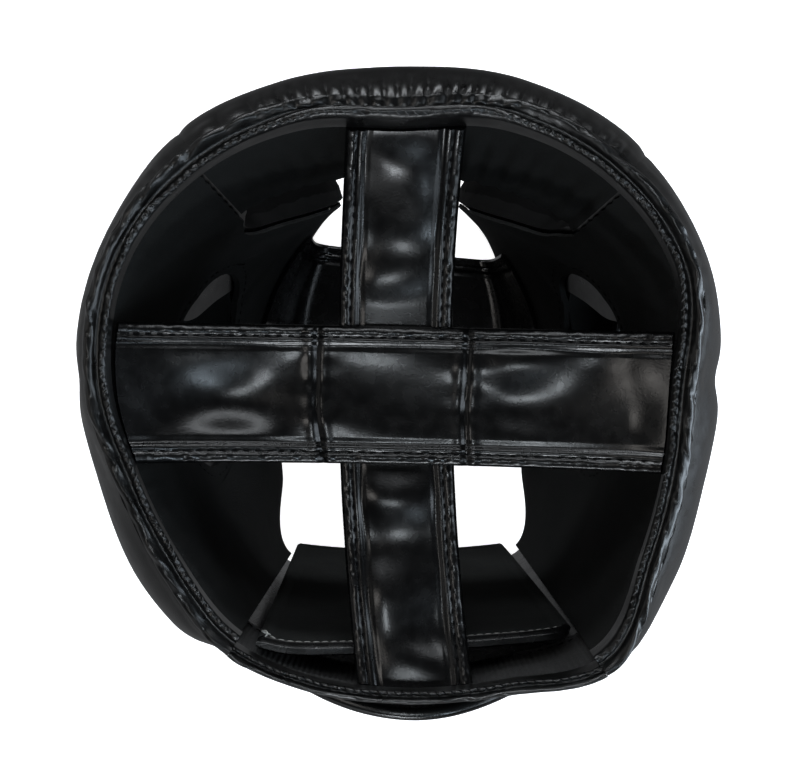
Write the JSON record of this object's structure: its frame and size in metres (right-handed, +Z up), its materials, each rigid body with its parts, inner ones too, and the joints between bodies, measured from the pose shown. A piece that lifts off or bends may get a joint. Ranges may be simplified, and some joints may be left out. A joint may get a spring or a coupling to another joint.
{
  "type": "head guard",
  "caption": "Padded sparring head guard with open crown, crossed crown straps, ear openings, cheek pads, back closure and chin strap.",
  "frame": {"origin": "on the surface that the guard stands on, under the middle of its plan", "axes": "+Z up towards the open crown, -Y the way the face looks, +X towards the wearer's left"},
  "size_m": [0.2212, 0.2182, 0.2086],
  "materials": {
    "black_leather": "semi-gloss grained",
    "lining_cloth": "matte brushed"
  },
  "bodies": {
    "root": {"forehead_pad": "black_leather", "side_pad_left": "black_leather", "side_pad_right": "black_leather", "forehead_lining": "lining_cloth", "side_lining_left": "lining_cloth", "side_lining_right": "lining_cloth", "forehead_rim_binding": "black_leather", "side_rim_binding_left": "black_leather", "side_rim_binding_right": "black_leather", "back_rim_binding": "black_leather", "crown_strap_long": "black_leather", "crown_strap_cross": "black_leather", "back_band": "black_leather", "closure_tab": "lining_cloth", "back_flap": "black_leather", "chin_strap_left": "black_leather", "chin_strap_right": "black_leather"}
  },
  "joints": []
}
